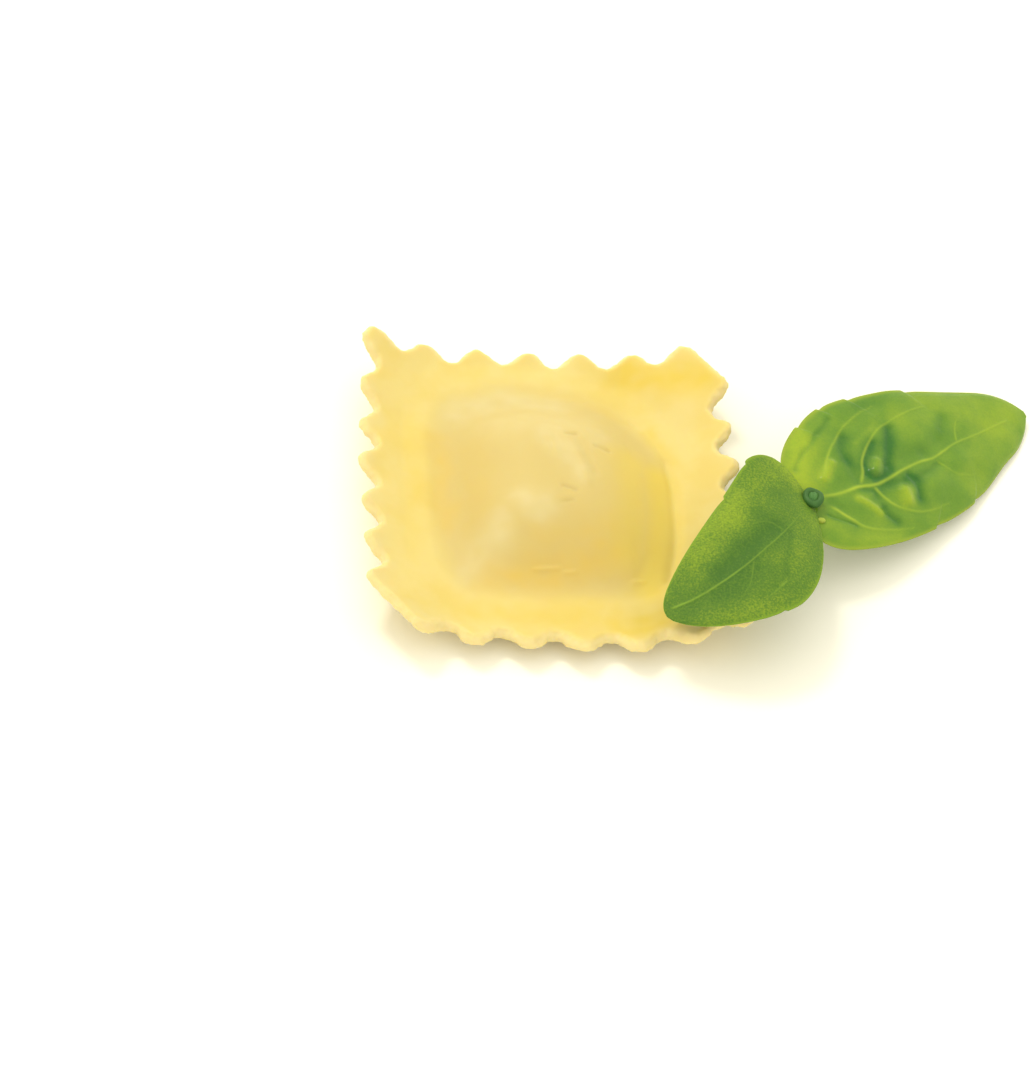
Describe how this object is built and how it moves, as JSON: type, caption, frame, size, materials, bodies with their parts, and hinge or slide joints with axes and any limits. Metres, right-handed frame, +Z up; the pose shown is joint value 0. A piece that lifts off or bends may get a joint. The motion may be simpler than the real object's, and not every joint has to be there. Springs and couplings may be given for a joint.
{
  "type": "fluted square raviolo with a basil sprig",
  "caption": "Fluted square raviolo of yellow egg dough with a domed filled middle, lying flat, with a small sprig of basil on its front right corner.",
  "frame": {"origin": "middle of the raviolo, on its flat underside, which rests on the table", "axes": "+Z up out of the pillow; +X towards the sprig, across the raviolo's width; +Y along the pillow's longer side, away from the viewer"},
  "size_m": [0.1045, 0.0617, 0.0155],
  "materials": {
    "egg_dough": "fresh egg pasta dough: pale warm yellow, soft satin, faintly see-through over the filling, cream at the cut edges",
    "basil_leaf": "fresh basil: mid yellow-green, veined and puckered, the large leaf glossy and the small one satin"
  },
  "bodies": {
    "root": {"raviolo": "egg_dough", "basil_sprig": "basil_leaf"}
  },
  "joints": []
}
